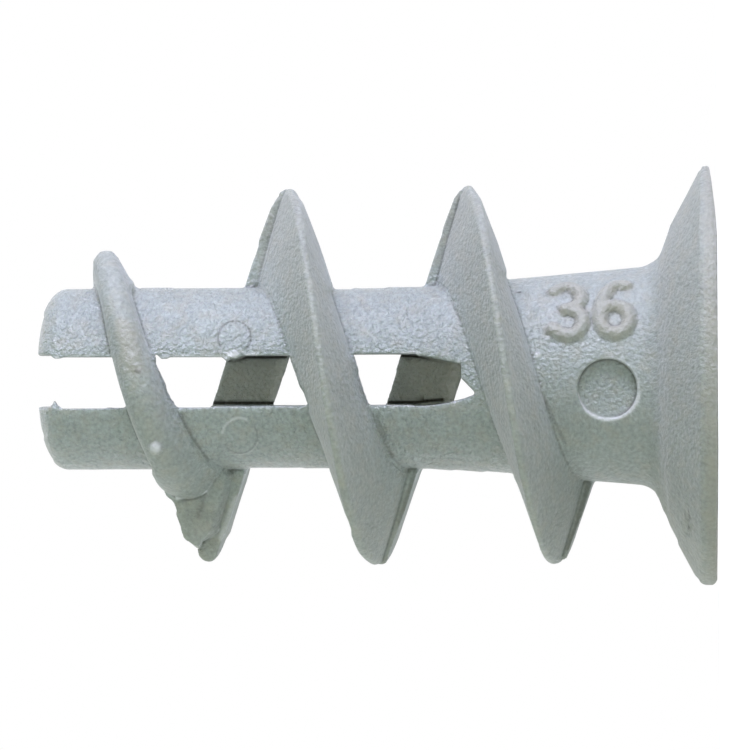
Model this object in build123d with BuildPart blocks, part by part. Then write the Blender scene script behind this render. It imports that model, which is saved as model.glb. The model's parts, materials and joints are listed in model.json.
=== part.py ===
from build123d import *
import os
from math import cos, radians

# A plasterboard plug: one nylon moulding that cuts its own way into the board, and then
# takes a screw. It stands on its head, with the head face at z = 0, its axis along +Z and
# the tip up. Its mould parts at the XZ plane, so the front half (-Y) and the rear half
# (+Y) were drawn apart along Y. All sizes are in millimetres.

# Shank
plug_length = 22.0
shank_diameter = 5.86
taper_top = 9.33  # above this height the shank is parallel
collar_diameter = 7.12  # the taper where it meets the head's underside
collar_height = 2.03
nose_height = 0.95  # rounded end of the two legs
nose_flat_diameter = 2.0

# Head
head_diameter = 13.64
rim_height = 0.53
rim_round = 0.22
face_round = 0.13
dish_diameter = 9.7  # where the steep underside turns flatter
dish_height = 1.57
head_fillet = 0.8

# Slot between the two legs, cut through from front to rear
slot_width = 1.63
slot_offset = -0.06  # of its middle, off the axis
slot_draft = 1  # degrees: it widens from the parting plane to the front and the rear
slot_end_height = 7.8  # of its pointed end
slot_shoulder = 1.85  # length over which its edges draw in
slot_shift = 0.47  # of the point, off the slot's middle
slot_neck = 0.45  # the blunt +X corner beside the point, along the axis
slot_neck_side = 0.49  # and across, off the slot's middle

# Screw bore, and the recess that the setting tool turns
bore_diameter = 3.4
bore_end_height = 19.6  # from here to the tip the legs are solid, and the screw spreads them
countersink_diameter = 5.2
countersink_angle = 90
recess_span = 5.6
recess_width = 1.25
recess_depth = 3.1
recess_draft = 4

# Thread: one tall coarse right-handed flight
thread_diameter = 12.2
thread_pitch = 5.784
root_width = 1.99
crest_width = 0.2
crest_round = 1  # height of the crest's rounding, as a share of half its width
flank_belly = 0.03  # the flanks swell this much halfway up
flight_seat = 0.1  # how deep it is rooted in the shank
crest_height = 13.9  # where the second turn crosses the +X side

# Start of the thread by the tip: low and narrow, then two steps up to full height
start_diameter = 8.25
start_end_diameter = 7.85
start_width = 1.05
start_setback = 0.65
start_setback_fade = 110  # angle over which that fades out again
start_round = 0.7
step_diameter = 10.6
step_angle = 172
web_width = 0.26  # extra thickness behind the last step
web_drop = 0.16  # how much lower its crest begins
web_tip_width = 0.06  # how far it first stands out towards the tip
web_angle = 60

# End of the thread by the head: it runs out round the rear
runout_start_angle = 45
runout_end_angle = 150

# Round sunk mark of an ejector pin, on the front of the tapered shank
mark_diameter = 1.92
mark_height = 3.53
mark_offset = -0.4  # of its middle, off the axis
mark_depth = 0.36  # below the front of the taper

section_step = 15  # degrees between the sections of a flight
fill_steps = 45
shoulder_steps = 6

shank_radius = shank_diameter / 2
collar_radius = collar_diameter / 2
head_radius = head_diameter / 2
dish_radius = dish_diameter / 2
thread_radius = thread_diameter / 2
seat_radius = shank_radius - flight_seat
os.makedirs("parts", exist_ok=True)


# The flight goes round in half turns, each from one parting plane (angle 0) over the
# middle of its mould half (90) to the other (180), sinking by half a pitch on the way.
# Four things shape a half turn at an angle: how far out the crest reaches, how far the
# flank towards the head is set back, the most that the flank towards the tip may stand
# out, and how high the rounding of the crest is for its width.
class RegularTurn:
    crest_round = crest_round

    def reach(self, angle):
        return thread_radius

    def setback(self, radius, angle):
        return 0

    def tip_limit(self, angle):
        return root_width


class StartTurn(RegularTurn):
    crest_round = start_round

    def reach(self, angle):
        fall = (start_diameter - start_end_diameter) / 2
        return start_diameter / 2 - fall * angle / step_angle

    def setback(self, radius, angle):
        at_root = min(1, (180 - angle) / start_setback_fade)
        outwards = (radius - shank_radius) / (start_diameter / 2 - shank_radius)
        return start_setback * (at_root + (1 - at_root) * outwards)

    def tip_limit(self, angle):
        return (start_width + (root_width - start_width) * min(1, angle / 90)) / 2


class StepTurn(StartTurn):
    crest_round = crest_round

    def reach(self, angle):
        return super().reach(angle) if angle < step_angle else step_diameter / 2

    def setback(self, radius, angle):
        return 0


class WebTurn(RegularTurn):
    def reach(self, angle):
        return thread_radius - web_drop * max(0, 1 - angle / web_angle)

    def setback(self, radius, angle):
        return -web_width * max(0, 1 - angle / web_angle)

    def tip_limit(self, angle):
        return web_tip_width + root_width * angle / web_angle


class RunoutTurn(RegularTurn):
    def reach(self, angle):
        share = max(0, (angle - runout_start_angle) / (runout_end_angle - runout_start_angle))
        return thread_radius - (thread_radius - collar_radius) * share


# Half the flight's thickness, from root to crest
def half_width(radius):
    share = (thread_radius - radius) / (thread_radius - shank_radius)
    return (crest_width + share * (root_width - crest_width)) / 2


def head_width(turn, radius, angle):
    return max(0, half_width(radius) - turn.setback(radius, angle))


def tip_width(turn, radius, angle):
    return min(turn.tip_limit(angle), half_width(radius))


# A mould half draws straight off along Y, so what would be undercut beside the parting
# plane is filled up: there a flank stands out as far as any deeper part of it does.
def drawn_width(width_at, turn, radius, angle):
    height = abs(radius * cos(radians(angle)))
    widest = width_at(turn, radius, angle)
    for step in range(1, fill_steps):
        deeper = angle + (90 - angle) * step / fill_steps
        deeper_radius = height / abs(cos(radians(deeper)))
        if deeper_radius <= turn.reach(deeper):
            advance = thread_pitch * abs(deeper - angle) / 360
            widest = max(widest, advance + width_at(turn, deeper_radius, deeper))
    return widest


# How far the two flanks stand out, towards the head and towards the tip
def flank_widths(turn, radius, angle):
    towards_head = head_width(turn, radius, angle)
    towards_tip = tip_width(turn, radius, angle)
    if angle < 90:
        towards_head = drawn_width(head_width, turn, radius, angle)
    if angle > 90:
        towards_tip = drawn_width(tip_width, turn, radius, angle)
    return towards_head, towards_tip


# Where the flanks end and the rounding of the crest begins
def shoulder_radius(turn, angle):
    radius = turn.reach(angle)
    for step in range(shoulder_steps):
        half_crest = sum(flank_widths(turn, radius, angle)) / 2
        radius = turn.reach(angle) - turn.crest_round * half_crest
    return radius


# A section of the flight at an angle: both flanks from root to shoulder, and the top of
# the crest, each point as (radius, height)
def section_points(turn, angle):
    centre = -thread_pitch * angle / 360
    shoulder = shoulder_radius(turn, angle)
    halfway = (seat_radius + shoulder) / 2
    head_side = []
    tip_side = []
    for radius, belly in ((seat_radius, 0), (halfway, flank_belly), (shoulder, 0)):
        towards_head, towards_tip = flank_widths(turn, radius, angle)
        head_side.append((radius, centre - towards_head - belly))
        tip_side.append((radius, centre + towards_tip + belly))
    top = (turn.reach(angle), centre + (towards_tip - towards_head) / 2)
    return tip_side, top, head_side


# Plane of a section in the front half: the radius across it, +Z up
def section_plane(angle):
    outwards = Vector(1, 0, 0).rotate(Axis.Z, -angle)
    return Plane(origin=(0, 0, 0), x_dir=outwards, z_dir=outwards.cross(Vector(0, 0, 1)))


# A stretch of the front half turn, lofted through its sections
def flight(turn, first, last):
    count = max(2, round((last - first) / section_step))
    with BuildPart() as stretch:
        for index in range(count + 1):
            angle = first + (last - first) * index / count
            tip_side, top, head_side = section_points(turn, angle)
            with BuildSketch(section_plane(angle)):
                with BuildLine():
                    Polyline(*tip_side)
                    ThreePointArc(tip_side[-1], top, head_side[-1])
                    Polyline(*head_side[::-1], tip_side[0])
                make_face()
        loft()
    return stretch.part


# Shank and head, turned about the axis
with BuildPart() as body:
    with BuildSketch(Plane.XZ):
        with BuildLine():
            nose_side = (shank_radius, plug_length - nose_height)
            Polyline(
                (nose_flat_diameter / 2, plug_length),
                (0, plug_length),
                (0, 0),
                (head_radius, 0),
                (head_radius, rim_height),
                (dish_radius, dish_height),
                (collar_radius, collar_height),
                (shank_radius, taper_top),
                nose_side,
            )
            EllipticalCenterArc(
                (nose_flat_diameter / 2, plug_length - nose_height),
                shank_radius - nose_flat_diameter / 2,
                nose_height,
            )
        make_face()
        fillet(vertices().sort_by_distance((head_radius, 0))[0], face_round)
        fillet(vertices().sort_by_distance((head_radius, rim_height))[0], rim_round)
        fillet(vertices().sort_by_distance((collar_radius, collar_height))[0], head_fillet)
    revolve(axis=Axis.Z)

    # screw bore, drilled in from the head face
    with Locations(Location((0, 0, 0), (180, 0, 0))):
        CounterSinkHole(
            bore_diameter / 2, countersink_diameter / 2, bore_end_height, countersink_angle
        )

    # cross recess for the setting tool
    with BuildSketch(Plane.XY):
        Rectangle(recess_span, recess_width)
        Rectangle(recess_width, recess_span)
    extrude(amount=recess_depth, taper=recess_draft, mode=Mode.SUBTRACT)

    # slot between the legs
    with BuildSketch(Plane.XZ):
        with BuildLine():
            slot_left = slot_offset + slot_width / 2
            slot_right = slot_offset - slot_width / 2
            slot_point = (slot_offset - slot_shift, slot_end_height)
            Polyline(
                slot_point,
                (slot_offset, slot_end_height + slot_neck),
                (slot_offset + slot_neck_side, slot_end_height + slot_neck),
                (slot_left, slot_end_height + slot_shoulder),
                (slot_left, plug_length),
                (slot_right, plug_length),
                (slot_right, slot_end_height + slot_shoulder),
            )
            TangentArc(
                (slot_right, slot_end_height + slot_shoulder), slot_point, tangent=(0, -1)
            )
        make_face()
    extrude(amount=collar_radius, both=True, taper=-slot_draft, mode=Mode.SUBTRACT)

    # ejector mark, sunk straight in from the front
    taper = (mark_height - collar_height) / (taper_top - collar_height)
    mark_surface = collar_radius + (shank_radius - collar_radius) * taper
    with BuildSketch(Plane.XZ.offset(mark_surface - mark_depth)):
        with Locations((mark_offset, mark_height)):
            Circle(mark_diameter / 2)
    extrude(amount=mark_depth * 2, mode=Mode.SUBTRACT)


# Place of a half turn: how many half turns after the thread's first crossing of +X
def turn_place(half_turns):
    height = crest_height + thread_pitch * (1 - half_turns / 2)
    return Location((0, 0, height), (0, 0, 180 * (half_turns % 2)))


regular_flight = flight(RegularTurn(), 0, 180)

with BuildPart() as plug:
    add(body.part)
    with Locations(turn_place(0)):
        add(flight(StartTurn(), 0, step_angle))
        add(flight(StepTurn(), step_angle, 180))
    with Locations(turn_place(1)):
        add(flight(WebTurn(), 0, 180))
    with Locations(turn_place(2), turn_place(3), turn_place(4)):
        add(regular_flight)
    with Locations(turn_place(5)):
        add(flight(RunoutTurn(), 0, runout_end_angle))

plug.part.label = "plug"
export_step(plug.part, "parts/plug.step")
print("solids", len(plug.part.solids()), "volume", round(plug.part.volume, 2), "mm3")
print("box", plug.part.bounding_box().min, plug.part.bounding_box().max)
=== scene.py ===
import json
import math

import bpy
import numpy as np
from mathutils import Matrix, Vector, noise

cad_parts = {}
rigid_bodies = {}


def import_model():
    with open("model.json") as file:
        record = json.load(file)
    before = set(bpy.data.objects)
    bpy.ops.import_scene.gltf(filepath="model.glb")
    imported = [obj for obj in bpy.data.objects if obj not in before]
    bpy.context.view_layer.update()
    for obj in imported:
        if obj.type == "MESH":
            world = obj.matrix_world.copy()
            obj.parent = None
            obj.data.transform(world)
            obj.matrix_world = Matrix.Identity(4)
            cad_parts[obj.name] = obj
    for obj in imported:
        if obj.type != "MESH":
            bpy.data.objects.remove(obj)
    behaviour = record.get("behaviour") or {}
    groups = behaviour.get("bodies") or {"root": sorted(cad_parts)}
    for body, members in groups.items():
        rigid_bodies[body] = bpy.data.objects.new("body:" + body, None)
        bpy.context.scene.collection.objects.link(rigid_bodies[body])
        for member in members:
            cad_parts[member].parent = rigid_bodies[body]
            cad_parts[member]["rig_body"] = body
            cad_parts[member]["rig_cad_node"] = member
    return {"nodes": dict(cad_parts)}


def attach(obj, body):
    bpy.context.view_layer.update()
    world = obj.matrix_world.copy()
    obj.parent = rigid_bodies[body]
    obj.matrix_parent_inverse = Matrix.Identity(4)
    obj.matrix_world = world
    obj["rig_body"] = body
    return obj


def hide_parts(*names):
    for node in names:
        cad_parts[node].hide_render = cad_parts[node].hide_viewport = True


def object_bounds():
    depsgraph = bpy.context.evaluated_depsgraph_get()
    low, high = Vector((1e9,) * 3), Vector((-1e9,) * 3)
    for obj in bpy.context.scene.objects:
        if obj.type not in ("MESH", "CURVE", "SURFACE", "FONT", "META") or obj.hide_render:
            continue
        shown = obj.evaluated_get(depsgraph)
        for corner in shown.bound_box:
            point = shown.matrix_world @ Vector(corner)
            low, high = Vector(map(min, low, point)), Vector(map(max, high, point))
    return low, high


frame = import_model()
cadLow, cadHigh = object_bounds()
mm = 0.001  # the plug is shaped in millimetres and brought down to metres at the end
print("frame loaded")


# Small helpers

def pickOnly(obj):  # nothing else stays selected
    bpy.ops.object.select_all(action="DESELECT")
    obj.select_set(True)
    bpy.context.view_layer.objects.active = obj


def useModifier(obj, kind, **values):  # adds a modifier, sets it up and applies it
    pickOnly(obj)
    modifier = obj.modifiers.new(kind.lower(), kind)
    for key, value in values.items():
        setattr(modifier, key, value)
    bpy.ops.object.modifier_apply(modifier=modifier.name)


def bakePlace(obj):  # the object back to the origin, its place in its mesh
    pickOnly(obj)
    bpy.ops.object.transform_apply(location=True, rotation=True, scale=True)


def joinInto(main, extras):
    bpy.ops.object.select_all(action="DESELECT")
    for extra in extras:
        extra.select_set(True)
    main.select_set(True)
    bpy.context.view_layer.objects.active = main
    bpy.ops.object.join()


def readPoints(obj):
    points = np.zeros(len(obj.data.vertices) * 3)
    obj.data.vertices.foreach_get("co", points)
    return points.reshape(-1, 3)


def writePoints(obj, points):
    obj.data.vertices.foreach_set("co", points.ravel())
    obj.data.update()


def easeStep(low, high, value):  # 0 below low, 1 above high, smooth between
    share = np.clip((value - low) / (high - low), 0, 1)
    return share * share * (3 - 2 * share)


# Camera, level with the head face and looking at the middle of the plug

photoView = {
    "imageSide": 750,
    "pixelsPerMillimetre": 30.925,
    "distance": 240,  # millimetres, from the axis
    "height": 0.03,
    "aimHeight": 11.09,
    "aimSide": 0.084,
    "roll": 0.333,  # degrees
    "sensor": 36,
    "clip": (0.001, 10),  # metres
}


def addCamera():
    place = Vector((0, -photoView["distance"], photoView["height"])) * mm
    aim = Vector((photoView["aimSide"], 0, photoView["aimHeight"])) * mm
    back = (place - aim).normalized()
    roll = math.radians(photoView["roll"])
    upRough = Vector((math.cos(roll), 0, -math.sin(roll)))  # the tip points left in the picture
    right = upRough.cross(back).normalized()
    up = back.cross(right)
    bpy.ops.object.camera_add()
    camera = bpy.context.object
    camera.name = "photoCamera"
    turned = Matrix((right, up, back)).transposed().to_4x4()
    camera.matrix_world = Matrix.Translation(place) @ turned
    focalPixels = photoView["pixelsPerMillimetre"] * photoView["distance"]
    camera.data.sensor_width = photoView["sensor"]
    camera.data.lens = photoView["sensor"] * focalPixels / photoView["imageSide"]
    camera.data.clip_start, camera.data.clip_end = photoView["clip"]
    bpy.context.scene.camera = camera


addCamera()
print("camera ready")


def photoRay(pixel):  # from the camera through a point of the picture, in millimetres
    camera = bpy.context.scene.camera
    middle = photoView["imageSide"] / 2
    focalPixels = photoView["pixelsPerMillimetre"] * photoView["distance"]
    aim = Vector((pixel[0] - middle, middle - pixel[1], -focalPixels))
    return camera.location / mm, (camera.matrix_world.to_3x3() @ aim).normalized()


def partingPoint(pixel, depth=0):  # where that line meets the parting plane, or a plane behind it
    start, towards = photoRay(pixel)
    return start + towards * (depth - start.y) / towards.y


def picturePixels(points):  # where the photo's camera shows each point
    camera = bpy.context.scene.camera
    seen = (points - np.array(camera.location) / mm) @ np.array(camera.matrix_world.to_3x3())
    middle = photoView["imageSide"] / 2
    scale = photoView["pixelsPerMillimetre"] * photoView["distance"] / -seen[:, 2]
    return np.stack([middle + seen[:, 0] * scale, middle - seen[:, 1] * scale], axis=1)


def awayFrom(places, start, end):  # distance of each place from a straight stretch
    start, along = np.array(start, float), np.array(end, float) - np.array(start, float)
    share = np.clip((places - start) @ along / max(along @ along, 1e-9), 0, 1)
    return np.linalg.norm(places - start - share[:, None] * along, axis=1)


# The plug: a merged copy of the solid, with its number, remeshed soft and then worked over

plugMesh = {
    "mergeDistance": 0.0001,
    "voxel": 0.045,
    "smoothFactor": 0.5,
    "smoothPasses": 5,
    "triangles": 190000,
}


def copySolid():
    node = frame["nodes"]["plug"]
    pickOnly(node)
    bpy.ops.object.duplicate()
    solid = bpy.context.object
    solid.name = "mouldedPlug"
    solid.data.name = "mouldedPlug"
    del solid["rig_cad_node"]
    del solid["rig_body"]
    solid.parent = None
    solid.scale = (1 / mm, 1 / mm, 1 / mm)
    bakePlace(solid)
    bpy.ops.object.mode_set(mode="EDIT")
    bpy.ops.mesh.select_all(action="SELECT")
    bpy.ops.mesh.remove_doubles(threshold=plugMesh["mergeDistance"])
    bpy.ops.object.mode_set(mode="OBJECT")
    return solid


solid = copySolid()
print("copy of the solid:", len(solid.data.vertices), "points")


inFront = -20  # a place along Y well in front of the plug


def frontPoint(side, height):  # where a line along +Y first meets the plug
    found, place, normal, face = solid.ray_cast((side, inFront, height), (0, 1, 0))
    return place


def photoPoint(pixel):  # the spot on the plug that a point of the picture shows
    found, place, normal, face = solid.ray_cast(*photoRay(pixel))
    return place if found else partingPoint(pixel)


# raised cavity number on the tapered shank, each stroke a round bead half sunk in it
cavityNumber = {
    "middles": [(2.09, 4.79), (2.15, 3.28)],  # of the digits, as (side, height)
    "bead": 0.235,
    "beadRoundness": 3,
    "beadFineness": 8,
    "sink": 0.03,
    # the strokes' olive tint, darkened as painted shade
    "strokeTintAndShade": {"width": 7.5, "strength": 0.85},
    "strokes": {
        "3": [
            [(-0.45, 0.60), (-0.10, 0.75), (0.26, 0.68), (0.42, 0.40), (0.28, 0.14), (-0.08, 0.04)],
            [(0.10, 0.04), (0.38, -0.10), (0.49, -0.38), (0.32, -0.68), (-0.08, -0.77), (-0.48, -0.58)],
        ],
        "6": [
            [
                (0.36, 0.72), (0.02, 0.72), (-0.30, 0.45), (-0.45, 0.05), (-0.47, -0.34),
                (-0.33, -0.66), (0, -0.78), (0.33, -0.66), (0.47, -0.34), (0.33, -0.02),
                (0, 0.10), (-0.33, -0.02), (-0.46, -0.28),
            ],
        ],
    },
}


def addBead(name, points, thickness):  # a round bead along smooth points
    curve = bpy.data.curves.new(name, "CURVE")
    curve.dimensions = "3D"
    curve.bevel_depth = thickness
    curve.bevel_resolution = cavityNumber["beadRoundness"]
    curve.resolution_u = cavityNumber["beadFineness"]
    curve.use_fill_caps = True
    spline = curve.splines.new("BEZIER")
    spline.bezier_points.add(len(points) - 1)
    for knot, point in zip(spline.bezier_points, points):
        knot.co = point
        knot.handle_left_type = "AUTO"
        knot.handle_right_type = "AUTO"
        knot.radius = 1
    bead = bpy.data.objects.new(name, curve)
    bpy.context.scene.collection.objects.link(bead)
    pickOnly(bead)
    bpy.ops.object.convert(target="MESH")
    return bpy.context.object


def addDot(name, place, radius):  # a small ball that ends or marks something
    bpy.ops.mesh.primitive_ico_sphere_add(subdivisions=2, radius=radius, location=place)
    dot = bpy.context.object
    dot.name = name
    bakePlace(dot)
    return dot


numberMarks = {}  # where the strokes lie, to be tinted and darkened as painted shade


def raiseNumber(text):
    beads = []
    for (side, height), digit in zip(cavityNumber["middles"], text):
        for stroke in cavityNumber["strokes"][digit]:
            path = []
            for across, upwards in stroke:
                place = frontPoint(side + upwards, height - across)
                outwards = Vector((place.x, place.y, 0)).normalized()
                path.append(place - outwards * cavityNumber["sink"])
            numberMarks[f"stroke{len(numberMarks)}"] = {"places": path, **cavityNumber["strokeTintAndShade"]}
            beads.append(addBead("digitStroke", path, cavityNumber["bead"]))
            beads += [addDot("strokeEnd", end, cavityNumber["bead"]) for end in (path[0], path[-1])]
    return beads


nubs = {
    "gateNub": {"pixel": (155.5, 448), "radius": 0.25},
    "whiteSpeck": {"pixel": (537.7, 354.8), "radius": 0.08},
}


def addNubs():
    return [addDot(name, photoPoint(nub["pixel"]), nub["radius"]) for name, nub in nubs.items()]


extras = raiseNumber("36") + addNubs()
print("number and nubs added")

joinInto(solid, extras)
useModifier(solid, "REMESH", mode="VOXEL", voxel_size=plugMesh["voxel"], use_smooth_shade=True)
print("remeshed:", len(solid.data.polygons), "faces")
useModifier(solid, "SMOOTH", factor=plugMesh["smoothFactor"], iterations=plugMesh["smoothPasses"])

# unevenness that a moulding has: bent rim, torn thread start, small ejector marks, a dent
uneven = {
    "ripple": {"size": 0.9, "height": 0.007},
    "rimBends": [  # how far the rim curls up from the face, on the +X side and on the -X side
        {"side": 1, "from": 4.2, "to": 6.82, "lift": 0.26, "power": 1.5, "fade": 0.62},
        {"side": -1, "from": 2.2, "to": 6.82, "lift": 0.065, "power": 1, "fade": 0.62},
    ],
    "torn": {"pixel": (132, 352), "reach": (0.55, 1.3), "size": 0.16, "height": 0.035, "seed": 3},
    "rings": [
        {"pixel": (234.5, 337.5), "radius": 0.53, "width": 0.05, "height": -0.035},
        {"pixel": (240, 436), "radius": 0.58, "width": 0.05, "height": 0.02},
    ],
    "dent": {"pixel": (687, 523), "reach": (0.24, 0.6), "size": 0.22, "height": 0.07, "seed": 7},
    "patchDepth": 1.2,  # a patch leaves alone what lies this much further back than its spot
    "ringDepth": 0.6,  # and a ring what is this far from it
}


def wave(points, size, seed=0):  # smooth noise between about -1 and 1 at each point
    shift = Vector((seed, seed, seed))
    return np.array([noise.noise(Vector(point) / size + shift) for point in points])


def patchShare(points, spot, reach):  # 1 in the middle of a front patch, 0 past its reach
    along, across = reach
    far = ((points[:, 2] - spot.z) / along) ** 2 + ((points[:, 0] - spot.x) / across) ** 2
    near = easeStep(0, 1, 1 - far)
    near[points[:, 1] > spot.y + uneven["patchDepth"]] = 0
    return near


def roughen(points, outwards, patch):
    share = patchShare(points, photoPoint(patch["pixel"]), patch["reach"])
    touched = share > 0
    rough = wave(points[touched], patch["size"], patch["seed"]) * patch["height"]
    points[touched] += outwards[touched] * (rough * share[touched])[:, None]


def bendRim(points, bend):
    share = np.clip((bend["side"] * points[:, 0] - bend["from"]) / (bend["to"] - bend["from"]), 0, 1)
    fade = 1 - easeStep(0, bend["fade"], points[:, 2])
    points[:, 2] += bend["lift"] * share ** bend["power"] * fade


def markRing(points, ring):
    spot = photoPoint(ring["pixel"])
    far = np.hypot(points[:, 0] - spot.x, points[:, 2] - spot.z) - ring["radius"]
    share = np.exp(-(far / ring["width"]) ** 2)
    share[np.abs(points[:, 1] - spot.y) >= uneven["ringDepth"]] = 0
    points[:, 1] -= ring["height"] * share


def unevenSurface():
    points = readPoints(solid)
    outwards = np.zeros(len(points) * 3)
    solid.data.vertex_normals.foreach_get("vector", outwards)
    outwards = outwards.reshape(-1, 3)
    ripple = uneven["ripple"]
    points += outwards * (wave(points, ripple["size"]) * ripple["height"])[:, None]
    roughen(points, outwards, uneven["torn"])
    roughen(points, outwards, uneven["dent"])
    for ring in uneven["rings"]:
        markRing(points, ring)
    for bend in uneven["rimBends"]:
        bendRim(points, bend)
    writePoints(solid, points)


unevenSurface()
print("surface made uneven")

# where the real edges stray: stretches of the picture, and how many pixels right and down each is pulled
pulls = {
    "startTop": {"line": [(100, 253), (112, 253)], "reach": 6, "move": (0, -1.5)},
    "startTopRoot": {"line": [(131, 283), (135, 288)], "reach": 8, "move": (3.2, 0)},
    "startTopFoot": {"line": [(134, 288), (136, 289)], "reach": 4.5, "move": (2.6, 0)},
    "startWindowTop": {"line": [(154, 350), (156, 357)], "reach": 7, "move": (2.8, 0)},
    "startWindowFoot": {"line": [(169, 391), (171, 396)], "reach": 9, "move": (-1.2, 0)},
    "startLowLeft": {"line": [(155, 476), (167, 497)], "reach": 9, "move": (-3, 0)},
    "startStep": {"line": [(172, 500), (176, 509)], "reach": 6, "move": (2.8, 0)},
    "webCorner": {"line": [(196, 542), (198, 543)], "reach": 6, "move": (1.5, 6.2)},
    "webLowLeft": {"line": [(187, 536), (190, 541)], "reach": 5, "move": (-2, 0.8)},
    "webRight": {"line": [(228, 478), (213, 530)], "reach": 9, "move": (4.5, 0), "before": 0},
    "webLowRight": {"line": [(227, 540), (217, 556)], "reach": 10, "move": (-1.9, 0)},
    "secondTopRight": {"line": [(303, 204), (331, 284)], "reach": 12, "move": (3.2, 0)},
    "secondTopCorner": {"line": [(278, 196), (282, 191)], "reach": 6, "move": (2.2, 0)},
    "secondTop": {"line": [(286, 189), (292, 189)], "reach": 7, "move": (0, -1)},
    "secondTopLeft": {"line": [(270, 209), (260, 238)], "reach": 10, "move": (-1.8, 0)},
    "secondTopFoot": {"line": [(252, 263), (246, 284)], "reach": 10, "move": (-0.7, 0)},
    "secondWindowTop": {"line": [(290, 357), (293, 366)], "reach": 8, "move": (-0.5, 0), "before": 0},
    "secondWindowFoot": {"line": [(302, 394), (306, 405)], "reach": 9, "move": (1.9, 0), "before": 0},
    "secondWindowRight": {"line": [(353, 356), (357, 368)], "reach": 8, "move": (1.6, 0), "before": 0},
    "secondLowRight": {"line": [(421, 470), (390, 560)], "reach": 12, "move": (-2.3, 0)},
    "secondLowLeft": {"line": [(330, 472), (346, 512)], "reach": 10, "move": (-0.7, 0)},
    "secondLowCorner": {"line": [(353, 537), (359, 553)], "reach": 9, "move": (-2, 0)},
    "secondLow": {"line": [(368, 564), (384, 565)], "reach": 7, "move": (0, -1.3)},
    "thirdTopRight": {"line": [(480, 200), (505, 268)], "reach": 12, "move": (3.2, 0)},
    "thirdTopCorner": {"line": [(456, 193), (459, 190)], "reach": 6, "move": (2.4, 0)},
    "thirdTop": {"line": [(467.5, 189), (470, 189)], "reach": 8, "move": (0, -3)},
    "thirdTopFoot": {"line": [(440, 236), (426, 282)], "reach": 10, "move": (1.2, 0)},
    "thirdLowRight": {"line": [(592, 486), (569, 556)], "reach": 12, "move": (-2.1, 0)},
    "thirdLowCorner": {"line": [(561.5, 566), (564, 565.7)], "reach": 5.5, "move": (-0.6, -3)},
    "thirdLowLeft": {"line": [(517, 486), (537, 542)], "reach": 10, "move": (0.8, 0)},
    "thirdLow": {"line": [(549, 565), (566, 563)], "reach": 9, "move": (0, -1.2)},
    "thirdLowEnd": {"line": [(565, 565.5), (567, 562)], "reach": 4.5, "move": (-1, -1.6)},
    "upperNose": {"line": [(36.5, 354), (41, 318)], "reach": 8, "move": (1.8, 0)},
    "lowerNose": {"line": [(36.7, 410), (40, 431)], "reach": 11, "move": (2.2, 0)},
    "lowerNoseFoot": {"line": [(41, 437), (50, 458)], "reach": 8, "move": (1.5, 0)},
    "shankTopMiddle": {"line": [(334, 287), (350, 287)], "reach": 7, "move": (0, 1.9)},
    "shankTopRight": {"line": [(359, 287), (383, 287)], "reach": 7, "move": (0, 1)},
    "shankTopLeft": {"line": [(142, 288), (170, 288)], "reach": 6, "move": (0, -0.8)},
    "shankLowLeft": {"line": [(252, 468), (300, 468)], "reach": 7, "move": (0, -0.8)},
    "shankLowMiddle": {"line": [(425, 468), (450, 468.5)], "reach": 7, "move": (0, 1)},
    "shankLowRight": {"line": [(488, 472), (510, 473.5)], "reach": 7, "move": (0, -1.2)},
    "headTopLeft": {"line": [(698, 168), (655, 258)], "reach": 8, "move": (1.9, 0)},
    "headTop": {"line": [(699, 167), (704, 164)], "reach": 6, "move": (0.4, 1.6)},
    "headLowRoot": {"line": [(659, 497), (663, 510)], "reach": 8, "move": (-1.2, 0)},
    "headLowLeft": {"line": [(680, 546), (695, 574)], "reach": 8, "move": (-1.7, 0)},
    "headLow": {"line": [(703, 586.8), (716, 586.8)], "reach": 6, "move": (0, -1.7)},
    "headLowFace": {"line": [(716, 586), (717, 583)], "reach": 4, "move": (-0.9, -0.6)},
    "rearSecondLeft": {"line": [(224, 358), (211, 404)], "reach": 7, "move": (2.3, 0), "behind": 1.6},
    "rearSecondRight": {"line": [(287, 357), (274, 403)], "reach": 8, "move": (2.4, 0), "behind": 1.6},
    "rearSecondTop": {"line": [(287, 357), (283, 372)], "reach": 9, "move": (1, 0), "behind": 1.6},
    "rearThirdLeft": {"line": [(401, 357), (398, 368)], "reach": 6, "move": (-1.2, 0), "behind": 1.6},
    "rearThirdRight": {"line": [(460, 362), (449, 402)], "reach": 9, "move": (5.2, 0), "behind": 1.6},
}

# flash that the mould left along the slot's front edges, pulled out of them in the same way
flash = {
    "tipSkin": {"line": [(54, 354), (111, 354)], "reach": 5, "move": (0, 2.8), "before": -1.5},
    "tipBead": {"line": [(56, 354), (59, 354)], "reach": 5, "move": (0, 1.4), "before": -1.5},
    "middleSkin": {"line": [(158, 353), (226, 353)], "reach": 5, "move": (0, 3.6), "before": -1.5},
    "middleBead": {"line": [(162, 354), (166, 354)], "reach": 5, "move": (0, 1.6), "before": -1.5},
    "lump": {"line": [(229, 353), (236, 353)], "reach": 8, "move": (0, 5.5), "before": -1.5},
    "rearSkin": {"line": [(243, 353), (292, 353)], "reach": 5, "move": (0, 2.3), "before": -1.5},
    "headSkin": {"line": [(350, 353), (418, 353)], "reach": 5, "move": (0, 1.5), "before": -1.5},
    "pointSkin": {"line": [(420, 353), (457, 362)], "reach": 5, "move": (0, 1.7), "before": -1.5},
    "lowerSink": {"line": [(64, 406), (104, 406)], "reach": 5, "move": (0, 0.9)},
    "lowerWall": {"line": [(62, 405), (212, 405)], "reach": 6, "move": (0, 1.5), "behind": -2.2},
    "lowerSkin": {"line": [(215, 406), (410, 406)], "reach": 5, "move": (0, -1), "before": -1.5},
    "burr": {"line": [(53, 407), (57, 407)], "reach": 6, "move": (0, -2.4), "before": -1.5},
    "burrPoint": {"line": [(54.6, 407), (55, 407)], "reach": 3.2, "move": (0, -4.2), "before": -1.5},
}


depthBlend = 0.5  # millimetres along Y over which a pull dies out at the depth it keeps to


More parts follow.
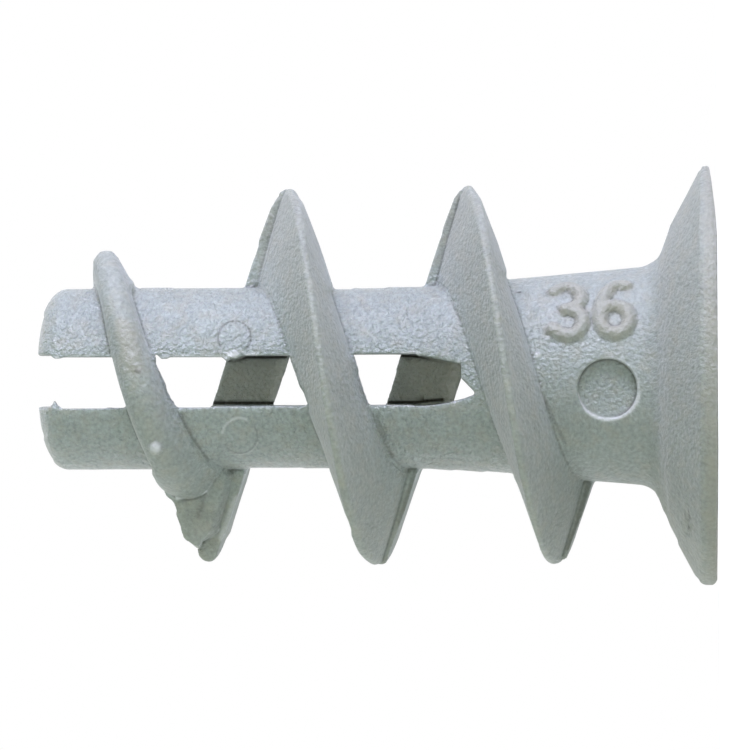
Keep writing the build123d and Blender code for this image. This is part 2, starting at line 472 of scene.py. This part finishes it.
def pullAlong(points, pixels, pull):
    share = 1 - easeStep(0, pull["reach"], awayFrom(pixels, *pull["line"]))
    if "behind" in pull:
        share *= easeStep(pull["behind"] - depthBlend, pull["behind"], points[:, 1])
    if "before" in pull:
        share *= 1 - easeStep(pull["before"], pull["before"] + depthBlend, points[:, 1])
    across, down = pull["move"]
    points[:, 2] -= share * across / photoView["pixelsPerMillimetre"]
    points[:, 0] -= share * down / photoView["pixelsPerMillimetre"]


def pullEdges():
    points = readPoints(solid)
    pixels = picturePixels(points)
    for pull in (*pulls.values(), *flash.values()):
        pullAlong(points, pixels, pull)
    writePoints(solid, points)


pullEdges()
print("edges pulled, flash raised")

# lines and spots of painted light and shade, and a few of other colour, along pixels of the picture; a
# depth puts them on that plane
shadeAndSpeckMarks = {  # painted shade: dark lines in gaps, corners and under ledges, and darkening over lit edges and ridges; also a few dark specks
    "rearSecondTop": {"line": [(226, 360), (233.5, 362.3), (241, 360), (247, 357.6), (286, 357.4)],
                      "depth": 2.71},
    "rearSecondLow": {"line": [(213, 402.8), (273, 403)], "depth": 2.71},
    "rearThirdTop": {"line": [(401, 356), (416, 356.6), (450.5, 365.2), (459, 364.3)], "depth": 2.71},
    "rearThirdLow": {"line": [(389, 402.6), (415.4, 402.4), (430, 400.6), (443, 399.6)], "depth": 2.71},
    "startRoot": {"line": [(180, 415), (193, 438), (208, 461)], "width": 2.2, "strength": 0.28},
    "secondRoot": {"line": [(376, 415), (384, 435), (392.5, 456)], "width": 2, "strength": 0.3},
    "thirdRoot": {"line": [(545, 400), (562, 436), (580, 470)], "width": 2, "strength": 0.3},
    "secondSliver": {"line": [(283.5, 196), (272, 240), (259, 286.5), (247, 286.5)],
                     "width": 1.5, "strength": 0.4},
    "thirdSliver": {"line": [(459.4, 196.5), (448, 240), (435.4, 284)], "width": 1.5, "strength": 0.28},
    "secondEdge": {"line": [(299, 206), (313.5, 241), (331.5, 286)], "width": 1.3, "strength": 0.45},
    "thirdEdge": {"line": [(482, 206), (489.5, 222), (496.5, 247), (505.5, 274)],
                  "width": 1.3, "strength": 0.3},
    "secondCrest": {"line": [(291, 198), (299, 218), (305, 245), (309, 270)],
                    "width": 3.2, "strength": 0.09},
    "thirdCrest": {"line": [(471, 196), (479, 215), (484.5, 232), (490, 266)],
                   "width": 3.2, "strength": 0.09},
    "secondFacet": {"line": [(303, 230), (312, 262), (322, 300)], "width": 9, "strength": 0.07},
    "thirdFacet": {"line": [(484, 225), (493, 258), (503, 296)], "width": 9, "strength": 0.07},
    "secondLowEdge": {"line": [(416, 471), (408, 497), (399.5, 525), (392, 549)],
                      "width": 2.8, "strength": 0.36},
    "thirdLowEdge": {"line": [(588.7, 484), (582, 507), (577, 526), (568.5, 549)],
                     "width": 2.8, "strength": 0.45},
    "secondWindow": {"line": [(292, 364), (307, 403)], "width": 1.2, "strength": 0.3},
    "secondWindowRight": {"line": [(355, 370), (367, 403)], "width": 1.2, "strength": 0.3},
    "lowerTipEdge": {"line": [(62, 406.5), (122, 406.5)], "width": 1.6, "strength": 0.2},
    "startWindow": {"line": [(156, 360), (163, 384), (172, 402)], "width": 1.2, "strength": 0.3},
    "ledge": {"line": [(179, 502), (205, 496)], "width": 1.3, "strength": 0.3},
    "webSeam": {"line": [(206, 494), (202, 506), (197.5, 517.6)], "width": 1.4, "strength": 0.3},
    "speck": {"line": [(519, 292.3), (520, 292.3)], "width": 1.8, "strength": 0.8},
    "startMark": {"line": [(136, 371), (139, 371.5)], "width": 1.8, "strength": 0.45},
    "startSpeck": {"line": [(124.5, 277), (125.5, 278)], "width": 1.6, "strength": 0.4},
    "dentEdge": {"line": [(689, 511), (689.5, 534)], "width": 1.8, "strength": 0.4},
    "dentTop": {"line": [(685, 513), (687, 520)], "width": 1.8, "strength": 0.2},
    "dentFoot": {"line": [(684.5, 535.5), (685.5, 537)], "width": 1.8, "strength": 0.4},
    "upperRing": {"arc": [(234.5, 337.5), 16.4, 150, 400], "width": 1.1, "strength": 0.4},
    "lowerRing": {"arc": [(240, 436), 17.3, -30, 150], "width": 1, "strength": 0.25},
    "pocketRim": {"arc": [(608, 388.3), 28.8, 200, 350], "width": 1, "strength": 0.25},
}
highlightAndPaleMarks = {  # painted light: highlights on lit edges, rims, flash and the pocket's lower wall, and light through the thin flash and the rear flights; a few nubs and specks are whitish too
    "rearSecondTop": {"line": [(226, 357.3), (233.5, 359.3), (241, 357.5), (247, 354.8), (290, 354.6)],
                      "width": 1.4},
    "lump": {"line": [(229, 354.5), (237, 354.5)], "width": 2.6},
    "ringFoot": {"line": [(226, 351.5), (243, 351)], "width": 1.2, "strength": 0.5},
    "rearThirdTop": {"line": [(402, 353.4), (417, 353.6), (452, 362.2), (459, 361.4)],
                     "width": 1.4, "strength": 0.9},
    "tipSkin": {"line": [(56, 357.6), (70, 357.2)], "width": 2, "strength": 0.95},
    "tipSkinRest": {"line": [(70, 356.8), (111, 355.8)], "width": 1.3, "strength": 0.6},
    "middleSkin": {"line": [(161, 357.4), (180, 356), (224, 355.8)], "width": 1.3, "strength": 0.6},
    "lowerEdge": {"line": [(213, 405.4), (306, 405.4)], "width": 1.4, "strength": 0.9},
    "pointEdge": {"line": [(387, 405), (415, 404.8), (430, 403.2), (455, 402.6)],
                  "width": 1.4, "strength": 0.9},
    "gateNub": {"line": [(155, 448), (156, 448)], "width": 5.5, "strength": 0.5},
    "whiteSpeck": {"line": [(537.2, 354.8), (538.4, 354.8)], "width": 2.6},
    "startMark": {"line": [(129, 352), (133, 353.5)], "width": 2, "strength": 0.25},
    "startDot": {"line": [(135, 362), (137, 362.5)], "width": 2, "strength": 0.25},
    "startLowEdge": {"line": [(154, 471), (160, 485), (168, 494), (175, 499)],
                     "width": 1.3, "strength": 0.35},
    "ledge": {"line": [(177, 498), (206, 491.4)], "width": 1.9, "strength": 0.9},
    "webFold": {"line": [(207, 493), (211, 484), (218, 476)], "width": 1.8, "strength": 0.22},
    "webLow": {"line": [(199.4, 545.5), (210, 537.5), (219, 529.5)], "width": 1.4, "strength": 0.4},
    "webEdge": {"line": [(247, 470), (236, 500), (222, 538)], "width": 3.6, "strength": 0.45},
    "pocketFoot": {"arc": [(608.5, 388.8), 30.8, 10, 170], "width": 2, "strength": 0.8},
    "pocketTop": {"arc": [(608, 388.3), 30.6, 180, 360], "width": 1.2, "strength": 0.4},
    "lowerRing": {"arc": [(240, 436), 17.9, 190, 290], "width": 1.4, "strength": 0.45},
    "lowerRingFoot": {"arc": [(240, 436), 18.6, 20, 100], "width": 1.1, "strength": 0.25},
    "flangeFacet": {"line": [(667, 481), (668.5, 510)], "width": 2.2, "strength": 0.25},
    "faceEdge": {"turn": [6.74, 0.04], "width": 2.4, "strength": 0.15},
    "rearSecondFace": {"line": [(256, 362), (243, 400)], "depth": 2.75, "width": 30, "strength": 0.4},
    "rearThirdFace": {"line": [(430, 362), (418, 400)], "depth": 2.75, "width": 30, "strength": 0.42},
    "rearSecondLeft": {"line": [(224, 362), (214, 401)], "depth": 2.75, "width": 4, "strength": 0.5},
    "rearSecondRight": {"line": [(283, 360), (272, 401)], "depth": 2.75, "width": 5, "strength": 0.7},
    "rearThirdLeft": {"line": [(399, 360), (388, 401)], "depth": 2.75, "width": 4, "strength": 0.5},
    "rearThirdRight": {"line": [(455, 368), (449, 400)], "depth": 2.75, "width": 6, "strength": 0.95},
}
oliveTintAndShadeMarks = {  # yellower, darker tint: the torn start's own tone, painted shade on the number's strokes and over the lit lower tip edge, and a tint along the face edge
    **numberMarks,
    "torn": {"line": [(124, 328), (136, 366)], "width": 10, "strength": 0.45},
    "lowerTipEdge": {"line": [(50, 407.5), (122, 407.5)], "width": 3, "strength": 0.8},
    "faceEdge": {"turn": [6.78, 0.2], "width": 6, "strength": 0.35},
}
marking = {
    "width": 1.9,  # pixels, where a mark gives none
    "fade": (0.5, 1.5),  # widths from its line where a mark begins and ends to fade
    "inset": 0.15,  # millimetres past its depth where a mark on the inside stops
    "arcSteps": 24,
    "turnStep": 4,  # degrees
    "fineWidth": 4,  # pixels, below which a mark needs small triangles
}


def arcPixels(middle, radius, start, end):  # in degrees, clockwise from the right
    count = marking["arcSteps"]
    turns = [math.radians(start + (end - start) * step / count) for step in range(count + 1)]
    return [(middle[0] + radius * math.cos(turn), middle[1] + radius * math.sin(turn)) for turn in turns]


def turnedPlaces(radius, height):  # round the front half
    turns = [math.radians(turn) for turn in range(-88, 89, marking["turnStep"])]
    return [Vector((radius * math.sin(turn), -radius * math.cos(turn), height)) for turn in turns]


def markPlaces(mark):
    if "places" in mark:
        return mark["places"]
    if "turn" in mark:
        return turnedPlaces(*mark["turn"])
    pixels = arcPixels(*mark["arc"]) if "arc" in mark else mark["line"]
    if "depth" in mark:
        return [partingPoint(pixel, mark["depth"]) for pixel in pixels]
    return [photoPoint(pixel) for pixel in pixels]


def markShare(points, marks):  # how strongly the marks cover each point
    cover = np.zeros(len(points))
    fromAxis = np.hypot(points[:, 0], points[:, 1])
    fadeStart, fadeEnd = marking["fade"]
    for mark in marks:
        places = markPlaces(mark)
        width = mark.get("width", marking["width"]) / photoView["pixelsPerMillimetre"]
        for start, end in zip(places, places[1:]):
            share = 1 - easeStep(fadeStart * width, fadeEnd * width, awayFrom(points, start, end))
            if "depth" in mark:  # stays on the inside
                share[fromAxis > mark["depth"] + marking["inset"]] = 0
            cover = np.maximum(cover, share * mark.get("strength", 1))
    return cover


def keepFine():  # the marks need small triangles, so the thinning spares them
    narrow = [mark for mark in (*shadeAndSpeckMarks.values(), *highlightAndPaleMarks.values())
              if mark.get("width", marking["width"]) < marking["fineWidth"]]
    cover = markShare(readPoints(solid), narrow)
    group = solid.vertex_groups.new(name="fine")
    group.add(np.flatnonzero(cover > 0).tolist(), 1, "REPLACE")


keepFine()
trianglesNow = 2 * len(solid.data.polygons)
useModifier(solid, "DECIMATE", ratio=plugMesh["triangles"] / trianglesNow,
            vertex_group="fine", invert_vertex_group=True)
print("thinned:", len(solid.data.polygons), "faces")


# painted on the mesh: how hollow or raised each spot is, which darkens the hollows as painted shade, and
# the marks
def paintCreaseShade():
    pickOnly(solid)
    bpy.ops.geometry.color_attribute_add(
        name="shadeInCreases", domain="CORNER", data_type="FLOAT_COLOR", color=(1, 1, 1, 1)
    )
    bpy.ops.paint.vertex_color_dirt(
        blur_strength=1, blur_iterations=1, clean_angle=math.pi, dirt_angle=0, normalize=False
    )


def paintMarks(name, marks):
    layer = solid.data.attributes.new(name, "FLOAT", "POINT")
    layer.data.foreach_set("value", markShare(readPoints(solid), marks.values()))


paintCreaseShade()
paintMarks("shadeAndSpecks", shadeAndSpeckMarks)
paintMarks("highlightAndPale", highlightAndPaleMarks)
paintMarks("oliveTintAndShade", oliveTintAndShadeMarks)
print("creases and marks painted")

solid.scale = (mm, mm, mm)
bakePlace(solid)
bpy.ops.object.shade_smooth()
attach(solid, "root")
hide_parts("plug")


# Nylon

nylon = {
    "color": (0.366, 0.415, 0.398),
    # painted highlights and light through thin parts, and a few whitish nubs
    "highlightAndPaleColor": (0.74, 0.76, 0.77),
    # olive tint, partly painted shade on the number and the lit lower tip edge
    "oliveTintAndShadeColor": (0.375, 0.36, 0.29),
    # painted shade in hollows, corners and creases
    "creaseShadeColor": (0.16, 0.175, 0.155),
    "creaseShades": (0.486, 0.462),  # painted hollowness where it begins and is full
    "creaseStrength": 0.85,
    # painted shade for dark gaps, corners and lit edges, and a few dark specks
    "shadeAndSpeckColor": (0.03, 0.03, 0.02),
    # painted shade: the flights and head a little darker
    "flightShadeColor": (0.332, 0.358, 0.325),
    "flightShadeFrom": (0.0030, 0.0045),  # metres from the axis where it begins and is full
    "roughness": 0.27,
    "dryRoughness": 0.6,  # on the flights and the head
    "dryFrom": (0.0031, 0.0036),
    "sheen": 0.3,
    "grainStretch": (1, 0.5, 1),  # drawn out along the mould's opening
    "grainSize": 7900,
    "grainHeight": 0.000145,
    "flightGrain": 0.54,  # of it, on the flights and the head
    "flightGrainFrom": (0.0030, 0.0034),
    "speckleSize": 8500,
    "speckle": 0.18,
    "speckleShades": (0.25, 0.75),
    "mottleSize": 700,
    "mottle": 0.10,
    "mottleShades": (0.3, 0.7),
    "beigeColor": (0.42, 0.405, 0.33),
    "beigeSize": 2600,
    "beige": 0.45,
    "beigeShades": (0.45, 0.75),
    "throughGlow": 0.3,
    "glowTint": (1, 1, 0.9),
    "glowDepth": 0.0007,
}


def nylonMaterial():
    material = bpy.data.materials.new("greyNylon")
    material.use_nodes = True
    nodes = material.node_tree.nodes
    links = material.node_tree.links
    shader = nodes["Principled BSDF"]
    shader.inputs["Subsurface Weight"].default_value = nylon["throughGlow"]
    shader.inputs["Subsurface Radius"].default_value = nylon["glowTint"]
    shader.inputs["Subsurface Scale"].default_value = nylon["glowDepth"]
    shader.inputs["Sheen Weight"].default_value = nylon["sheen"]
    place = nodes.new("ShaderNodeTexCoord")
    drawn = nodes.new("ShaderNodeMapping")
    drawn.inputs["Scale"].default_value = nylon["grainStretch"]
    links.new(place.outputs["Object"], drawn.inputs["Vector"])

    def noiseAt(size, detail):
        texture = nodes.new("ShaderNodeTexNoise")
        texture.inputs["Scale"].default_value = size
        texture.inputs["Detail"].default_value = detail
        links.new(drawn.outputs["Vector"], texture.inputs["Vector"])
        return texture.outputs["Fac"]

    def stretched(value, span, toLow, toHigh):
        change = nodes.new("ShaderNodeMapRange")
        change.inputs["From Min"].default_value, change.inputs["From Max"].default_value = span
        change.inputs["To Min"].default_value = toLow
        change.inputs["To Max"].default_value = toHigh
        links.new(value, change.inputs["Value"])
        return change.outputs["Result"]

    def painted(name):
        layer = nodes.new("ShaderNodeAttribute")
        layer.attribute_name = name
        return layer.outputs["Fac"]

    def blended(base, color, share):
        mix = nodes.new("ShaderNodeMix")
        mix.data_type = "RGBA"
        links.new(base, mix.inputs["A"])
        mix.inputs["B"].default_value = (*color, 1)
        links.new(share, mix.inputs["Factor"])
        return mix.outputs["Result"]

    def scaled(base, value):
        mix = nodes.new("ShaderNodeVectorMath")
        mix.operation = "SCALE"
        links.new(base, mix.inputs["Vector"])
        links.new(value, mix.inputs["Scale"])
        return mix.outputs["Vector"]

    # how far out from the axis, for the drier look of the crests and the painted shade that darkens the
    # flights and head
    split = nodes.new("ShaderNodeSeparateXYZ")
    flat = nodes.new("ShaderNodeCombineXYZ")
    reach = nodes.new("ShaderNodeVectorMath")
    reach.operation = "LENGTH"
    links.new(place.outputs["Object"], split.inputs["Vector"])
    links.new(split.outputs["X"], flat.inputs["X"])
    links.new(split.outputs["Y"], flat.inputs["Y"])
    links.new(flat.outputs["Vector"], reach.inputs["Vector"])

    plain = nodes.new("ShaderNodeRGB")
    plain.outputs["Color"].default_value = (*nylon["color"], 1)
    # the flights and head darker, as painted shade
    color = blended(plain.outputs["Color"], nylon["flightShadeColor"],
                    stretched(reach.outputs["Value"], nylon["flightShadeFrom"], 0, 1))
    mottle, speckle = nylon["mottle"], nylon["speckle"]
    color = scaled(color, stretched(noiseAt(nylon["mottleSize"], 2), nylon["mottleShades"],
                                    1 - mottle / 2, 1 + mottle / 2))
    color = scaled(color, stretched(noiseAt(nylon["speckleSize"], 1), nylon["speckleShades"],
                                    1 - speckle, 1 + speckle))
    beige = stretched(noiseAt(nylon["beigeSize"], 3), nylon["beigeShades"], 0, nylon["beige"])
    color = blended(color, nylon["beigeColor"], beige)
    # olive tint, partly painted shade on the number and the lit lower tip edge
    color = blended(color, nylon["oliveTintAndShadeColor"], painted("oliveTintAndShade"))
    # painted shade in the hollows and corners
    creaseShadeShare = stretched(painted("shadeInCreases"), nylon["creaseShades"], 0, nylon["creaseStrength"])
    color = blended(color, nylon["creaseShadeColor"], creaseShadeShare)
    # painted highlights and light through thin parts, and a few whitish nubs
    color = blended(color, nylon["highlightAndPaleColor"], painted("highlightAndPale"))
    # painted shade lines and a few dark specks
    color = blended(color, nylon["shadeAndSpeckColor"], painted("shadeAndSpecks"))
    links.new(color, shader.inputs["Base Color"])
    dryness = stretched(reach.outputs["Value"], nylon["dryFrom"],
                        nylon["roughness"], nylon["dryRoughness"])
    links.new(dryness, shader.inputs["Roughness"])

    bump = nodes.new("ShaderNodeBump")
    calmer = stretched(reach.outputs["Value"], nylon["flightGrainFrom"], 1, nylon["flightGrain"])
    links.new(calmer, bump.inputs["Strength"])
    bump.inputs["Distance"].default_value = nylon["grainHeight"]
    links.new(noiseAt(nylon["grainSize"], 2), bump.inputs["Height"])
    links.new(bump.outputs["Normal"], shader.inputs["Normal"])
    return material


solid.data.materials.clear()
solid.data.materials.append(nylonMaterial())
print("nylon on")


# Floor, world and lamps

studio = {
    "floorSize": 1.2,
    "floorColor": (0.88, 0.88, 0.87),
    "floorRoughness": 0.9,
    "floorGlow": 0.5,
    "floorBounce": 0.18,
    "ambient": (0.36, 0.43, 0.41),
}


def addFloor():
    bpy.ops.mesh.primitive_plane_add(size=studio["floorSize"], location=(0, 0, 0))
    floor = bpy.context.object
    floor.name = "floor"
    material = bpy.data.materials.new("paleFloor")
    material.use_nodes = True
    nodes = material.node_tree.nodes
    links = material.node_tree.links
    shader = nodes["Principled BSDF"]
    shader.inputs["Base Color"].default_value = (*studio["floorColor"], 1)
    shader.inputs["Roughness"].default_value = studio["floorRoughness"]
    shader.inputs["Emission Color"].default_value = (1, 1, 1, 1)
    rays = nodes.new("ShaderNodeLightPath")
    glow = nodes.new("ShaderNodeMath")
    glow.operation = "MULTIPLY_ADD"
    glow.inputs[1].default_value = studio["floorGlow"] - studio["floorBounce"]
    glow.inputs[2].default_value = studio["floorBounce"]
    links.new(rays.outputs["Is Camera Ray"], glow.inputs[0])
    links.new(glow.outputs[0], shader.inputs["Emission Strength"])
    floor.data.materials.append(material)


def addWorld():
    world = bpy.data.worlds.new("studioWorld")
    bpy.context.scene.world = world
    world.use_nodes = True
    nodes = world.node_tree.nodes
    links = world.node_tree.links
    background = nodes["Background"]
    rays = nodes.new("ShaderNodeLightPath")
    seen = nodes.new("ShaderNodeMath")
    seen.operation = "MAXIMUM"
    seenThrough = nodes.new("ShaderNodeMath")
    seenThrough.operation = "MAXIMUM"
    choose = nodes.new("ShaderNodeMix")
    choose.data_type = "RGBA"
    choose.inputs["A"].default_value = (*studio["ambient"], 1)
    choose.inputs["B"].default_value = (1, 1, 1, 1)
    links.new(rays.outputs["Is Camera Ray"], seen.inputs[0])
    links.new(rays.outputs["Is Glossy Ray"], seen.inputs[1])
    links.new(seen.outputs[0], seenThrough.inputs[0])
    links.new(rays.outputs["Is Transmission Ray"], seenThrough.inputs[1])
    links.new(seenThrough.outputs[0], choose.inputs["Factor"])
    links.new(choose.outputs["Result"], background.inputs["Color"])


lamps = {
    "top": {"from": (0.9, -0.3, 0.08), "distance": 0.16, "size": (0.10, 0.14), "watts": 0.385,
            "color": (0.743, 0.696, 1.0)},
    "bottom": {"from": (-1, 0.7, -0.03), "distance": 0.16, "size": (0.12, 0.02), "watts": 0.065,
               "color": (1, 0.9, 0.995), "dull": True},
    "front": {"from": (0, -1, 0), "distance": 0.35, "size": (0.04, 0.2), "watts": 0.3,
              "color": (1, 0.997, 0.70), "dull": True},
    "tip": {"from": (0, -1, 1), "distance": 0.35, "size": (0.06, 0.1), "watts": 0.09,
            "color": (1, 0.986, 0.987), "dull": True},
    "glint": {"from": (0.87, -0.5, 0), "distance": 0.16, "size": (0.025, 0.1), "watts": 0.34,
              "color": (0.85, 0.9, 1), "glossOnly": True},
}


def addLamps():
    middle = (cadLow + cadHigh) / 2
    for name, lamp in lamps.items():
        towards = Vector(lamp["from"]).normalized()
        bpy.ops.object.light_add(type="AREA", location=middle + towards * lamp["distance"])
        light = bpy.context.object
        light.name = name + "Lamp"
        light.rotation_euler = towards.to_track_quat("Z", "Y").to_euler()
        light.data.shape = "RECTANGLE"
        light.data.size, light.data.size_y = lamp["size"]
        light.data.energy = lamp["watts"]
        light.data.color = lamp["color"]
        light.visible_glossy = not lamp.get("dull", False)
        light.visible_diffuse = not lamp.get("glossOnly", False)


addFloor()
addWorld()
addLamps()
bpy.context.scene.view_settings.view_transform = "Standard"
print("studio lit")
